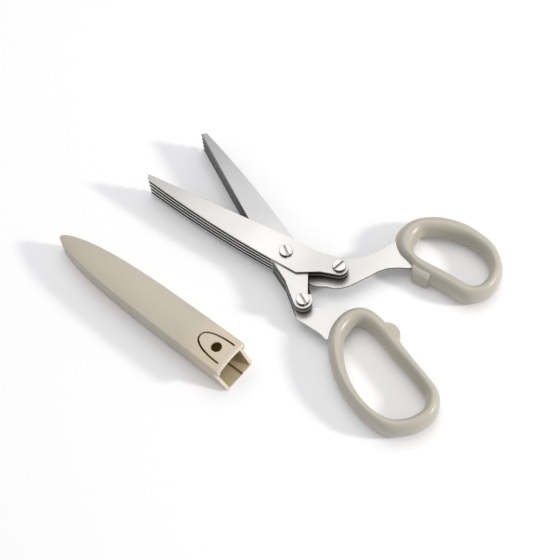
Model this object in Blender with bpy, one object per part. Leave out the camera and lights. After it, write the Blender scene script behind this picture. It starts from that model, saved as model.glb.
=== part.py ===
"""Herb scissors with five blades a side, two moulded finger loops and a loose blade sheath.

The drawing frame has its origin on the pivot axis at table level, +Y from the pivot to the tips
and +Z up. Each half is drawn closed, along +Y, and then turned open by half the drawn opening.
"""

import math

import bmesh
import bpy
from mathutils import Matrix, Vector

# Stack of blades
blades_per_half = 5
blade_thickness = 0.00105
layer_gap = 0.00035
seat_gap = 0.0003
drawn_opening = math.radians(26.8)

# Blade outline, closed, thumb side, measured from the pivot
blade_length = 0.0820
tip_edge_reach = 0.0016
tip_spine_reach = 0.0012
tip_slant = 0.0013
spine_reach = 0.0069
heel_reach = 0.0079
heel_height = 0.0042
ground_edge_width = 0.0004
spine_steps = 12

# Tang behind the pivot
tang_side_drop = 0.0126
tang_corner_reach = 0.0071
tang_corner_drop = 0.0101
tang_waist_reach = 0.0008
tang_waist_drop = 0.0198
rear_screw_reach = 0.00625
rear_screw_drop = 0.0261
tang_end_radius = 0.0045
tang_end_steps = 12
tang_shoulder_steps = 4

# Screws, barrel nuts and spacers
head_radius = 0.0032
head_height = 0.0013
head_round = 0.0003
head_slot_width = 0.0012
head_slot_depth = 0.0008
shank_radius = 0.0012
barrel_radius = 0.0019
barrel_flange_radius = 0.0034
barrel_flange_height = 0.0008
barrel_flange_round = 0.0002
shank_end_gap = 0.0006
spacer_radius = 0.0030
round_steps = 28
pivot_slot_turn = math.radians(65.5)
thumb_slot_turn = math.radians(-0.5)
finger_slot_turn = math.radians(73.0)

# Handle plates, past the tang, from the pivot
thumb_plate_reach = 0.0370
thumb_plate_drop = 0.0530
thumb_inner_shares = [(-0.178, 0.323), (-0.17, 0.377), (-0.141, 0.419), (-0.097, 0.47), (-0.07, 0.54),
                      (-0.014, 0.592), (0.059, 0.638), (0.151, 0.677), (0.246, 0.713), (0.341, 0.751),
                      (0.441, 0.785), (0.546, 0.843), (0.621, 0.917), (0.686, 1)]
thumb_outer_shares = [(1, 0.779), (0.862, 0.736), (0.724, 0.689), (0.6, 0.636), (0.497, 0.574), (0.419, 0.5),
                      (0.33, 0.43)]
finger_plate_reach = 0.0123
finger_plate_drop = 0.0474
finger_outer_shares = [(-1, 0.648), (-0.911, 0.7), (-0.756, 0.791), (-0.585, 0.897), (-0.504, 1)]
finger_inner_shares = [(0.829, 0.795), (0.626, 0.776), (0.293, 0.726), (-0.01, 0.662)]

# Moulded finger loops, drawn closed: each point of the tube's middle line has its share of the tube's width
loop_height = 0.0130
section_steps = 16
section_squareness = 2.2
loop_steps = 56
thumb_loop_reach = 0.0428
thumb_loop_front_drop = 0.0439
thumb_loop_width = 0.0283
thumb_loop_length = 0.0463
thumb_tube_width = 0.0076
thumb_loop_shares = [(-0.473, 0.202, 0.9), (-0.484, -0.068, 0.99), (-0.5, -0.321, 1), (-0.408, -0.438, 0.88),
                     (-0.221, -0.5, 0.86), (-0.003, -0.5, 0.83), (0.199, -0.454, 0.84),
                     (0.413, -0.305, 0.92), (0.5, -0.088, 1), (0.491, 0.091, 1.12), (0.398, 0.288, 1.17),
                     (0.242, 0.438, 1.08), (0.055, 0.499, 1.23), (-0.146, 0.5, 1.34), (-0.325, 0.433, 1.06),
                     (-0.42, 0.333, 0.73)]
finger_loop_reach = 0.0046
finger_loop_front_drop = 0.0443
finger_loop_width = 0.0317
finger_loop_length = 0.0599
finger_tube_width = 0.0068
finger_loop_shares = [(0.43, 0.302, 1.1), (0.454, 0.07, 0.97), (0.481, -0.093, 0.86), (0.5, -0.229, 0.87),
                      (0.49, -0.375, 0.95), (0.317, -0.479, 1.02), (0.079, -0.5, 1.02),
                      (-0.145, -0.469, 1.01), (-0.325, -0.399, 0.98), (-0.444, -0.266, 0.79),
                      (-0.5, -0.072, 0.81), (-0.461, 0.133, 0.92), (-0.323, 0.326, 1.06),
                      (-0.159, 0.444, 1.16), (0.056, 0.5, 1.2), (0.234, 0.497, 1.21), (0.361, 0.44, 1.17)]

# Closing stops moulded on the loops
thumb_stop_length = 0.0098
thumb_stop_height = 0.0090
thumb_stop_proud = 0.0021
thumb_stop_drop = 0.0593
thumb_stop_slant = 0.0004
thumb_stop_corner = 0.0020
finger_stop_radius = 0.0062
finger_stop_height = 0.0100
finger_stop_proud = 0.0028
finger_stop_drop = 0.0605
stop_edge = 0.0006
stop_edge_steps = 2
stop_edge_profile_share = 0.5

# Sheath that covers the blades, taken off and laid beside them
sheath_length = 0.1111
sheath_fit_gap = 0.00015
sheath_side_gap = 0.0004
sheath_lean = 0.0008
sheath_crown = 0.0010
sheath_wall = 0.0010
sheath_side_wall = 0.0016
sheath_corner = 0.0012
sheath_foot_corner = 0.0022
sheath_taper_share = 0.10
sheath_nose_power = 4.3
sheath_nose_round_power = 0.62
sheath_nose_drop_share = 0.31
sheath_nose_drop_power = 5.0
sheath_nose_end_share = 0.995
sheath_full_corner_share = 0.5
sheath_cavity_share = 0.95
sheath_steps = 16
corner_steps = 3
crown_steps = 4
mouth_slant = 0.0035
mouth_sill_height = 0.0020
mouth_collar_drop = 0.0036
mouth_notch_drop = 0.0052
mouth_notch_depth = 0.0024
tongue_width = 0.0116
tongue_length = 0.0160
tongue_setback = 0.0030
tongue_slot = 0.0008
tongue_squareness = 2.3
tongue_steps = 16
tongue_hole_radius = 0.00265
tongue_hole_setback = 0.0091
channel_depth = 0.0005
channel_width = 0.0048
channel_length = 0.0320
sheath_place = (-0.05735, -0.0237)
sheath_turn = math.radians(6.8)
cut_overrun = 0.0040
weld_distance = 0.00001
least_mitre_share = 0.5
sharp_angle = math.radians(45)

layer_pitch = blade_thickness + layer_gap
stack_bottom = barrel_flange_height + seat_gap
stack_height = (2 * blades_per_half - 1) * layer_pitch + blade_thickness
stack_top = stack_bottom + stack_height
sheath_height = stack_height + sheath_fit_gap + 2 * sheath_wall + sheath_crown
sheath_mouth_width = 2 * (heel_reach + sheath_side_gap + sheath_side_wall)
sheath_top_cut_bottom = sheath_height - sheath_crown - sheath_wall - cut_overrun
thumb_loop_centre = (thumb_loop_reach, -thumb_loop_front_drop - thumb_loop_length / 2)
finger_loop_centre = (finger_loop_reach, -finger_loop_front_drop - finger_loop_length / 2)
hole_radius = barrel_radius + seat_gap
half_turn = drawn_opening / 2
thumb_open = Matrix.Rotation(half_turn, 4, "Z")
finger_open = Matrix.Rotation(-half_turn, 4, "Z")


def clear_scene():
    for old in list(bpy.data.objects):
        bpy.data.objects.remove(old, do_unlink=True)


def finish(name, colour, roughness, metallic):
    material = bpy.data.materials.new(name)
    material.use_nodes = True
    shader = material.node_tree.nodes["Principled BSDF"]
    shader.inputs["Base Color"].default_value = (*colour, 1.0)
    shader.inputs["Roughness"].default_value = roughness
    shader.inputs["Metallic"].default_value = metallic
    return material


def steel(name):
    return finish(name + "_steel", (0.62, 0.61, 0.59), 0.32, 1.0)


def plastic(name):
    return finish(name + "_plastic", (0.52, 0.47, 0.39), 0.38, 0.0)


def add_object(name, mesh_builder, material, turn=None):
    """Makes an object from a bmesh, with its faces pointing out."""
    bmesh.ops.recalc_face_normals(mesh_builder, faces=mesh_builder.faces)
    mesh = bpy.data.meshes.new(name)
    mesh_builder.to_mesh(mesh)
    mesh_builder.free()
    piece = bpy.data.objects.new(name, mesh)
    bpy.context.scene.collection.objects.link(piece)
    if material:
        mesh.materials.append(material)
    if turn:
        piece.matrix_world = turn
    return piece


def add_cutter(name, mesh_builder, turn=None):
    cutter = add_object(name, mesh_builder, None, turn)
    cutter.hide_render = True
    cutter.display_type = "WIRE"
    return cutter


def boolean(piece, tool, operation):
    change = piece.modifiers.new(operation.lower() + "_" + tool.name, "BOOLEAN")
    change.operation = operation
    change.solver = "EXACT"
    change.object = tool


def circle(centre, radius, steps):
    points = []
    for step in range(steps):
        angle = 2 * math.pi * step / steps
        points.append((centre[0] + radius * math.cos(angle), centre[1] + radius * math.sin(angle)))
    return points


def arc(centre, radius, start, end, steps):
    points = []
    for step in range(steps + 1):
        angle = start + (end - start) * step / steps
        points.append((centre[0] + radius * math.cos(angle), centre[1] + radius * math.sin(angle)))
    return points


def tangent_angle(point, centre, radius, side):
    """Angle on a circle where the line from an outside point touches it."""
    away = Vector(point) - Vector(centre)
    return math.atan2(away.y, away.x) + side * math.acos(radius / away.length)


def mirrored(points):
    return [(-x, y) for x, y in reversed(points)]


def grown(points, distance):
    """The outline moved outward by a distance. The points run anticlockwise."""
    result = []
    count = len(points)
    for index, point in enumerate(points):
        before = (Vector(point) - Vector(points[index - 1])).normalized()
        after = (Vector(points[(index + 1) % count]) - Vector(point)).normalized()
        middle = (Vector((before.y, -before.x)) + Vector((after.y, -after.x))).normalized()
        spread = max(middle.dot(Vector((before.y, -before.x))), least_mitre_share)
        moved = Vector(point) + middle * distance / spread
        result.append((moved.x, moved.y))
    return result


def plate(outline, holes, low, high):
    """A flat plate between two heights, with round holes through it."""
    builder = bmesh.new()
    edges = []
    for ring in [outline] + holes:
        corners = [builder.verts.new((x, y, low)) for x, y in ring]
        for index, corner in enumerate(corners):
            edges.append(builder.edges.new((corners[index - 1], corner)))
    bmesh.ops.triangle_fill(builder, edges=edges, use_beauty=True, use_dissolve=False)
    lifted = bmesh.ops.extrude_face_region(builder, geom=builder.faces[:])
    tops = [item for item in lifted["geom"] if isinstance(item, bmesh.types.BMVert)]
    bmesh.ops.translate(builder, verts=tops, vec=(0, 0, high - low))
    return builder


def turned(profile, centre, steps):
    """A solid of revolution. The profile runs from the axis to the axis, or is a closed ring."""
    builder = bmesh.new()
    corners = [builder.verts.new((centre[0] + radius, centre[1], height)) for radius, height in profile]
    edges = [builder.edges.new(pair) for pair in zip(corners, corners[1:])]
    if profile[0][0] > 0:
        edges.append(builder.edges.new((corners[-1], corners[0])))
    bmesh.ops.spin(builder, geom=corners + edges, cent=(*centre, 0), axis=(0, 0, 1),
                   angle=2 * math.pi, steps=steps, use_duplicate=False)
    bmesh.ops.remove_doubles(builder, verts=builder.verts, dist=weld_distance)
    return builder


def smooth_loop(points, steps):
    """A closed curve through the points, with even steps in each span."""
    result = []
    count = len(points)
    for step in range(steps):
        place = step * count / steps
        index = int(place)
        share = place - index
        p0, p1, p2, p3 = [Vector(points[(index + offset) % count]) for offset in (-1, 0, 1, 2)]
        bend = 2 * p1 + (p2 - p0) * share
        bend += (2 * p0 - 5 * p1 + 4 * p2 - p3) * share ** 2
        bend += (3 * p1 - p0 - 3 * p2 + p3) * share ** 3
        result.append(bend / 2)
    return result


def loop_line(centre, size, tube_width, shares, steps):
    """Middle line of a loop's tube. The third value of each point is the tube's width there."""
    points = [(centre[0] + size[0] * u, centre[1] + size[1] * v, tube_width * wide) for u, v, wide in shares]
    return smooth_loop(points, steps)


def thumb_line(steps):
    size = (thumb_loop_width, thumb_loop_length)
    return loop_line(thumb_loop_centre, size, thumb_tube_width, thumb_loop_shares, steps)


def finger_line(steps):
    size = (finger_loop_width, finger_loop_length)
    return loop_line(finger_loop_centre, size, finger_tube_width, finger_loop_shares, steps)


# Blades

def layer_bottom(layer):
    return stack_bottom + layer * layer_pitch


def spine_points():
    """The back of the blade, from the tip to the root, curving in as the square of the distance."""
    points = []
    top = blade_length - tip_slant
    for step in range(spine_steps + 1):
        share = 1 - step / spine_steps
        reach = spine_reach - (spine_reach - tip_spine_reach) * share ** 2
        points.append((-reach, top * share))
    return points


def rear_screw():
    return (rear_screw_reach, -rear_screw_drop)


def tang_start():
    return [(heel_reach, -tang_side_drop), (heel_reach, heel_height), (tip_edge_reach, blade_length)]


def blade_outline():
    centre = rear_screw()
    waist = (-tang_waist_reach, -tang_waist_drop)
    side = (heel_reach, -tang_side_drop)
    start = tangent_angle(waist, centre, tang_end_radius, 1)
    end = tangent_angle(side, centre, tang_end_radius, -1)
    if start > end:
        start -= 2 * math.pi
    points = tang_start() + spine_points()
    points += [(-tang_corner_reach, -tang_corner_drop), waist]
    points += arc(centre, tang_end_radius, start, end, tang_end_steps)
    return points


def thumb_plate_outline():
    points = tang_start() + spine_points()
    points.append((-tang_corner_reach, -tang_corner_drop))
    points += [(thumb_plate_reach * u, -thumb_plate_drop * v) for u, v in thumb_inner_shares]
    line = thumb_line(len(thumb_loop_shares))
    points += [tuple(line[index].xy) for index in (0, -1, -2)]
    points += [(thumb_plate_reach * u, -thumb_plate_drop * v) for u, v in thumb_outer_shares]
    return points


def finger_plate_outline():
    centre = rear_screw()
    points = mirrored(tang_start() + spine_points())
    outer = [(finger_plate_reach * u, -finger_plate_drop * v) for u, v in finger_outer_shares]
    inner = [(finger_plate_reach * u, -finger_plate_drop * v) for u, v in finger_inner_shares]
    line = finger_line(len(finger_loop_shares))
    end = tangent_angle((tang_waist_reach, -tang_waist_drop), (-centre[0], centre[1]), tang_end_radius, -1)
    points += [(-centre[0] - tang_end_radius, centre[1])] + outer
    front = max(range(len(line)), key=lambda index: line[index].y)
    points += [tuple(line[index].xy) for index in (front - 1, front, front + 1)] + inner
    points += arc((-centre[0], centre[1]), tang_end_radius, -math.pi / 4, end, tang_shoulder_steps)
    points += [(tang_waist_reach, -tang_waist_drop), (tang_corner_reach, -tang_corner_drop)]
    return points


def grind_edge(builder, side, high):
    """Slopes the top face down to the cutting edge, which runs from the heel to the tip."""
    heel = Vector((side * heel_reach, heel_height))
    tip = Vector((side * tip_edge_reach, blade_length))
    along = (tip - heel).normalized()
    inward = Vector((-side * along.y, side * along.x))
    for corner in builder.verts:
        flat = corner.co.to_2d()
        on_edge = min((flat - heel).length, (flat - tip).length) < weld_distance
        if on_edge and abs(corner.co.z - high) < weld_distance:
            corner.co.xy = flat + inward * ground_edge_width


def add_blade(name, outline, screw, layer, side, turn):
    low = layer_bottom(layer)
    high = low + blade_thickness
    holes = [circle((0, 0), hole_radius, round_steps), circle(screw, hole_radius, round_steps)]
    builder = plate(outline, holes, low, high)
    grind_edge(builder, side, high)
    return add_object(name, builder, steel(name), turn)


def build_blades():
    middle = blades_per_half // 2
    thumb_screw = rear_screw()
    finger_screw = (-thumb_screw[0], thumb_screw[1])
    for index in range(blades_per_half):
        finger_layer = 2 * (blades_per_half - 1 - index)
        thumb_outline = thumb_plate_outline() if index == middle else blade_outline()
        finger_outline = finger_plate_outline() if index == middle else mirrored(blade_outline())
        ending = "main_blade" if index == middle else "blade_" + str(index + 1)
        add_blade("thumb_" + ending, thumb_outline, thumb_screw, finger_layer + 1, 1, thumb_open)
        add_blade("finger_" + ending, finger_outline, finger_screw, finger_layer, -1, finger_open)


# Spacers, screws and barrel nuts

def build_spacers():
    """A washer on each rear screw fills the layer that the other half's blade leaves."""
    thumb_centre = rear_screw()
    finger_centre = (-thumb_centre[0], thumb_centre[1])
    for index in range(blades_per_half - 1):
        finger_layer = 2 * (blades_per_half - 1 - index)
        for half, centre, layer, turn in (("thumb", thumb_centre, finger_layer, thumb_open),
                                          ("finger", finger_centre, finger_layer - 1, finger_open)):
            low = layer_bottom(layer)
            high = low + blade_thickness
            profile = [(hole_radius, low), (spacer_radius, low), (spacer_radius, high), (hole_radius, high)]
            name = half + "_spacer_" + str(index + 1)
            add_object(name, turned(profile, centre, round_steps), steel(name), turn)


def add_screw(name, centre, clamped_bottom, clamped_top, slot_turn, turn):
    """A slotted screw from above, and the flanged barrel nut that it screws into from below."""
    head_low = clamped_top + seat_gap
    head_high = head_low + head_height
    flange_high = clamped_bottom - seat_gap
    flange_low = flange_high - barrel_flange_height
    shank_low = flange_high + shank_end_gap
    profile = [(0, shank_low), (shank_radius, shank_low), (shank_radius, head_low), (head_radius, head_low),
               (head_radius, head_high - head_round), (head_radius - head_round, head_high), (0, head_high)]
    screw = add_object(name + "_screw", turned(profile, centre, round_steps), steel(name + "_screw"), turn)
    builder = bmesh.new()
    bmesh.ops.create_cube(builder, size=1)
    size = (2 * head_radius + cut_overrun, head_slot_width, 2 * head_slot_depth)
    bmesh.ops.scale(builder, verts=builder.verts, vec=size)
    bmesh.ops.rotate(builder, verts=builder.verts, matrix=Matrix.Rotation(slot_turn, 3, "Z"))
    bmesh.ops.translate(builder, verts=builder.verts, vec=(*centre, head_high))
    boolean(screw, add_cutter(name + "_slot_cutter", builder, turn), "DIFFERENCE")
    bore = shank_radius + seat_gap
    barrel_top = head_low - seat_gap
    floor = shank_low - seat_gap
    profile = [(0, flange_low), (barrel_flange_radius - barrel_flange_round, flange_low),
               (barrel_flange_radius, flange_low + barrel_flange_round), (barrel_flange_radius, flange_high),
               (barrel_radius, flange_high), (barrel_radius, barrel_top), (bore, barrel_top),
               (bore, floor), (0, floor)]
    add_object(name + "_barrel_nut", turned(profile, centre, round_steps), steel(name + "_barrel_nut"), turn)


def build_screws():
    thumb_centre = rear_screw()
    finger_centre = (-thumb_centre[0], thumb_centre[1])
    thumb_top = stack_top
    finger_top = stack_top - layer_pitch
    add_screw("pivot", (0, 0), stack_bottom, stack_top, pivot_slot_turn - half_turn, thumb_open)
    thumb_bottom = stack_bottom + layer_pitch
    add_screw("thumb", thumb_centre, thumb_bottom, thumb_top, thumb_slot_turn - half_turn, thumb_open)
    add_screw("finger", finger_centre, stack_bottom, finger_top, finger_slot_turn + half_turn, finger_open)


# Moulded finger loops

def loop_tube(line):
    builder = bmesh.new()
    rings = []
    count = len(line)
    for index, point in enumerate(line):
        along = (line[(index + 1) % count].xy - line[index - 1].xy).normalized()
        across = Vector((along.y, -along.x))
        ring = []
        for step in range(section_steps):
            angle = 2 * math.pi * step / section_steps
            side = math.copysign(abs(math.cos(angle)) ** (2 / section_squareness), math.cos(angle))
            rise = math.copysign(abs(math.sin(angle)) ** (2 / section_squareness), math.sin(angle))
            place = point.xy + across * point.z / 2 * side
            ring.append(builder.verts.new((place.x, place.y, loop_height * (1 + rise) / 2)))
        rings.append(ring)
    for index, ring in enumerate(rings):
        before = rings[index - 1]
        for step in range(section_steps):
            builder.faces.new((before[step - 1], before[step], ring[step], ring[step - 1]))
    return builder


def plate_pocket(name, outline, layer, turn):
    low = layer_bottom(layer) - seat_gap
    return add_cutter(name, plate(grown(outline, seat_gap), [], low, low + blade_thickness + 2 * seat_gap), turn)


def at_drop(line, drop, side):
    """The point of a loop's middle line at a distance behind the pivot, on its left or right side."""
    found = None
    for index, point in enumerate(line):
        before = line[index - 1]
        if (before.y + drop) * (point.y + drop) <= 0:
            share = (before.y + drop) / (before.y - point.y)
            place = before.lerp(point, share)
            if found is None or side * place.x > side * found.x:
                found = place
    return found


def bevelled(builder, width):
    """Rounds the edges of a block between its sides and its top and bottom."""
    edges = [edge for edge in builder.edges if edge.calc_face_angle() > sharp_angle]
    bmesh.ops.bevel(builder, geom=edges, offset=width, segments=stop_edge_steps,
                    profile=stop_edge_profile_share, affect="EDGES")
    return builder


def thumb_stop(line):
    """A nub with a cut front corner, on the side of the thumb loop that faces the other loop."""
    place = at_drop(line, thumb_stop_drop, -1)
    face = place.x - place.z / 2 - thumb_stop_proud
    front = place.y + thumb_stop_length / 2
    rear = place.y - thumb_stop_length / 2
    outline = [(face + thumb_stop_slant, rear), (place.x, rear), (place.x, front),
               (face + thumb_stop_corner, front), (face, front - thumb_stop_corner)]
    return bevelled(plate(outline, [], stop_edge, thumb_stop_height), stop_edge)


def finger_stop(line):
    """A round boss on the side of the finger loop that meets the nub."""
    place = at_drop(line, finger_stop_drop, 1)
    centre = (place.x + place.z / 2 + finger_stop_proud - finger_stop_radius, place.y)
    outline = arc(centre, finger_stop_radius, -math.pi / 2, math.pi / 2, round_steps // 2)
    return bevelled(plate(outline, [], stop_edge, finger_stop_height), stop_edge)


def build_loop(half, line, stop, outline, layer, turn):
    name = half + "_handle"
    handle = add_object(name, loop_tube(line), plastic(name), turn)
    boolean(handle, add_cutter(half + "_stop", stop, turn), "UNION")
    boolean(handle, plate_pocket(half + "_pocket", outline, layer, turn), "DIFFERENCE")


def build_loops():
    line = thumb_line(loop_steps)
    build_loop("thumb", line, thumb_stop(line), thumb_plate_outline(), blades_per_half, thumb_open)
    line = finger_line(loop_steps)
    build_loop("finger", line, finger_stop(line), finger_plate_outline(), blades_per_half - 1, finger_open)


# Sheath

def sheath_section(width, low, high, crown, corner, foot_corner, lean):
    """One cross-section: a flat foot, nearly upright sides and a slightly crowned top."""
    half = width / 2
    foot = half - lean
    points = arc((-foot + foot_corner, low + foot_corner), foot_corner, math.pi, 1.5 * math.pi, corner_steps)
    points += arc((foot - foot_corner, low + foot_corner), foot_corner, 1.5 * math.pi, 2 * math.pi, corner_steps)
    points += arc((half - corner, high - corner), corner, 0, math.pi / 2, corner_steps)
    for step in range(1, crown_steps):
        share = 1 - 2 * step / crown_steps
        points.append(((half - corner) * share, high + crown * (1 - share ** 2)))
    points += arc((-half + corner, high - corner), corner, math.pi / 2, math.pi, corner_steps)
    return points


def sheath_loft(inset, side_inset, start, end_share):
    """The outside of the sheath, or its hollow when the insets are a wall thick."""
    builder = bmesh.new()
    rings = []
    end = sheath_length * end_share
    for step in range(sheath_steps + 1):
        along = end * math.sin(math.pi / 2 * step / sheath_steps)
        share = along / sheath_length
        nose = (1 - share ** sheath_nose_power) ** sheath_nose_round_power
        spread = (1 - sheath_taper_share * share) * nose
        drop = 1 - sheath_nose_drop_share * share ** sheath_nose_drop_power
        width = (sheath_mouth_width - 2 * side_inset) * spread
        high = (sheath_height - sheath_crown) * drop - inset
        corner_share = min(1, spread / sheath_full_corner_share)
        corner = sheath_corner * corner_share * spread
        foot_corner = (sheath_foot_corner - inset) * corner_share * spread
        crown = sheath_crown * spread
        section = sheath_section(width, inset, high, crown, corner, foot_corner, sheath_lean * spread)
        place = along if step else -start
        rings.append([builder.verts.new((x, place, z)) for x, z in section])
    for before, ring in zip(rings, rings[1:]):
        for index in range(len(ring)):
            builder.faces.new((before[index - 1], before[index], ring[index], ring[index - 1]))
    builder.faces.new(rings[0])
    builder.faces.new(rings[-1])
    return builder


def mouth_cutter():
    """Leaves a collar round the top of the mouth, and side walls that slope out to the sill."""
    front = -mouth_slant - cut_overrun
    top = sheath_height + cut_overrun
    profile = [(front, mouth_sill_height), (-mouth_slant, mouth_sill_height),
               (mouth_notch_depth, sheath_height - mouth_notch_drop),
               (0, sheath_height - mouth_collar_drop), (0, top), (front, top)]
    builder = plate(profile, [], -sheath_mouth_width, sheath_mouth_width)
    upright = Matrix(((0, 0, 1), (1, 0, 0), (0, 1, 0)))
    bmesh.ops.transform(builder, verts=builder.verts, matrix=upright.to_4x4())
    return builder


def tongue_path(shift):
    points = []
    for step in range(tongue_steps + 1):
        angle = math.pi * step / tongue_steps
        side = math.copysign(abs(math.cos(angle)) ** (2 / tongue_squareness), math.cos(angle))
        rise = math.sin(angle) ** (2 / tongue_squareness)
        points.append(((tongue_width / 2 + shift) * side, tongue_setback + (tongue_length + shift) * rise))
    return points


def tongue_cutter():
    outline = tongue_path(tongue_slot / 2) + tongue_path(-tongue_slot / 2)[::-1]
    return plate(outline, [], sheath_top_cut_bottom, sheath_height + cut_overrun)


def hole_cutter():
    outline = circle((0, tongue_hole_setback), tongue_hole_radius, round_steps)
    return plate(outline, [], sheath_top_cut_bottom, sheath_height + cut_overrun)


def channel_cutter():
    """A shallow channel along the middle of the floor, open at the mouth."""
    half = channel_width / 2
    front = -mouth_slant - cut_overrun
    outline = [(-half, front), (half, front), (half, channel_length), (-half, channel_length)]
    return plate(outline, [], sheath_wall - channel_depth, sheath_wall + channel_depth)


def build_sheath():
    place = Matrix.Translation((*sheath_place, 0)) @ Matrix.Rotation(sheath_turn, 4, "Z")
    outside = sheath_loft(0, 0, mouth_slant, sheath_nose_end_share)
    hollow = sheath_loft(sheath_wall, sheath_side_wall, mouth_slant + cut_overrun, sheath_cavity_share)
    sheath = add_object("sheath", outside, plastic("sheath"), place)
    boolean(sheath, add_cutter("sheath_hollow", hollow, place), "DIFFERENCE")
    boolean(sheath, add_cutter("channel_cutter", channel_cutter(), place), "DIFFERENCE")
    boolean(sheath, add_cutter("mouth_cutter", mouth_cutter(), place), "DIFFERENCE")
    boolean(sheath, add_cutter("tongue_cutter", tongue_cutter(), place), "DIFFERENCE")
    boolean(sheath, add_cutter("hole_cutter", hole_cutter(), place), "DIFFERENCE")


def build_part():
    clear_scene()
    build_blades()
    build_spacers()
    build_screws()
    build_loops()
    build_sheath()


build_part()
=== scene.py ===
import math

import bmesh
import bpy
from mathutils import Matrix, Vector


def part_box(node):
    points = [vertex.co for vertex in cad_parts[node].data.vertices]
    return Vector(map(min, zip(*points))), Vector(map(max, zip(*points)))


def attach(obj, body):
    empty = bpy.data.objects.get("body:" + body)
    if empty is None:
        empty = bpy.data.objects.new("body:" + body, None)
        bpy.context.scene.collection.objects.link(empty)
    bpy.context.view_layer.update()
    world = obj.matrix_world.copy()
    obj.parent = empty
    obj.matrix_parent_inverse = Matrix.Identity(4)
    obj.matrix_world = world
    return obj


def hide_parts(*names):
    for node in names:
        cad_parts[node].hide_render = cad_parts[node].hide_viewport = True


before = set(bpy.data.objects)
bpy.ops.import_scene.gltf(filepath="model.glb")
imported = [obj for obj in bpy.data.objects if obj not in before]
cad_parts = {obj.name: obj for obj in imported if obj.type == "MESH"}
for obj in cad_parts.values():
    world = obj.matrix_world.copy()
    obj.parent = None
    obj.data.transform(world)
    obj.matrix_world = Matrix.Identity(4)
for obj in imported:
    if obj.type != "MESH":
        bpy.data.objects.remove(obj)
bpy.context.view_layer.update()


# Blades
# Ten stamped stainless steel blades, five on each half, interleaved on the pivot screw. The middle
# blade of each half is the main blade, whose plate runs back into the finger loop. Their cutting
# edges are ground, their outer faces are brushed along the blade, and their sides are sheared.

mm = 0.001
half_open = math.radians(13.4)
blade_end = 82.0 * mm
blade_edge_round = 0.06 * mm
blade_edge_steps = 2
blade_edge_angle = math.radians(30)
join_distance = 0.01 * mm
flat_angle = math.radians(1)
sharp_angle = math.radians(50)
fan_start = 8.0 * mm
fan_share = 0.15
stack_middle = (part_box("finger_blade_5")[0].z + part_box("thumb_blade_1")[1].z) / 2
neck_points = ((7.10, -10.10), (2.85, -15.71), (-2.64, -24.66), (-1.60, -25.60), (6.00, -25.60),
               (12.00, -12.00))
# Tints for each half. The face tints change along the blade, from in front of the pivot to behind it
# and far behind it, as painted light and shade. The inner tint is painted shade on the blades inside
# the stack. The side tints are painted shade, apart from the thumb's sides in front of the pivot and
# the finger's plate sides. The finger's sides in front of the pivot carry painted shade above a
# painted highlight along each lower edge.
half_steels = {
    "thumb": {
        "turn": -half_open,
        "front": (0.45, 0.439, 0.424, 1.0),
        "back": (0.364, 0.356, 0.341, 1.0),
        "far": (0.431, 0.42, 0.398, 1.0),
        "front_side": (0.80, 0.79, 0.775, 1.0),
        "edge_highlight": (0.80, 0.79, 0.775, 1.0),
        "tang_side": (0.24, 0.23, 0.22, 1.0),
        "plate_side": (0.16, 0.15, 0.14, 1.0),
        "inner": (0.20, 0.19, 0.18, 1.0),
        "bare": (-18.0 * mm, -24.0 * mm)},
    "finger": {
        "turn": half_open,
        "front": (0.368, 0.364, 0.36, 1.0),
        "back": (0.386, 0.382, 0.371, 1.0),
        "far": (0.39, 0.382, 0.371, 1.0),
        "front_side": (0.045, 0.043, 0.041, 1.0),
        "edge_highlight": (0.48, 0.47, 0.46, 1.0),
        "tang_side": (0.34, 0.325, 0.31, 1.0),
        "plate_side": (0.80, 0.79, 0.775, 1.0),
        "inner": (0.02, 0.019, 0.018, 1.0),
        "bare": (-24.5 * mm, -27.0 * mm)}}
# Painted shade on the sides that face along the half's own X axis, a darker tone at random smudges,
# and painted shade towards the tips.
shaded_side_tint = (0.03, 0.028, 0.025, 1.0)
smudge_shade = (0.92, 0.92, 0.92, 1.0)
tip_shade = (0.62, 0.62, 0.622, 1.0)
tip_shade_start = 12.0 * mm
back_start = 6.0 * mm
back_full = -14.0 * mm
far_start = -30.0 * mm
far_full = -46.0 * mm
side_start = 0.0
side_full = -7.0 * mm
# Height and blend of the painted highlight along the lower edge of each blade's side.
edge_highlight_height = 0.35 * mm
edge_highlight_blend = 0.2 * mm
side_slopes = (0.25, 0.5)
right_slopes = (0.3, 0.5)
noise_range = (0.3, 0.7)
grain_size = 5200.0
grain_stretch = 60.0
grain_detail = 3.0
grain_roughness = 0.6
grain_depth = 0.01 * mm
grain_strength = 0.1
smudge_size = 55.0
smudge_detail = 4.0
blade_roughness = (0.28, 0.36)


def only(piece):
    """Selects one object and nothing else."""
    bpy.ops.object.select_all(action="DESELECT")
    piece.select_set(True)
    bpy.context.view_layer.objects.active = piece


def apply_all(piece):
    """Applies every modifier of a piece."""
    only(piece)
    for modifier in list(piece.modifiers):
        bpy.ops.object.modifier_apply(modifier=modifier.name)


def copy_of(node, name):
    """A merged copy of a CAD solid, ready to be worked on."""
    piece = bpy.data.objects.new(name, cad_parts[node].data.copy())
    bpy.context.scene.collection.objects.link(piece)
    piece.data.materials.clear()
    only(piece)
    bpy.ops.object.mode_set(mode="EDIT")
    bpy.ops.mesh.select_all(action="SELECT")
    bpy.ops.mesh.remove_doubles(threshold=join_distance)
    bpy.ops.mesh.dissolve_limited(angle_limit=flat_angle)
    bpy.ops.object.mode_set(mode="OBJECT")
    return piece


def made_object(name, builder):
    """Turns a bmesh into an object, with its faces pointing out."""
    bmesh.ops.recalc_face_normals(builder, faces=builder.faces)
    mesh = bpy.data.meshes.new(name)
    builder.to_mesh(mesh)
    builder.free()
    piece = bpy.data.objects.new(name, mesh)
    bpy.context.scene.collection.objects.link(piece)
    return piece


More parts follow.
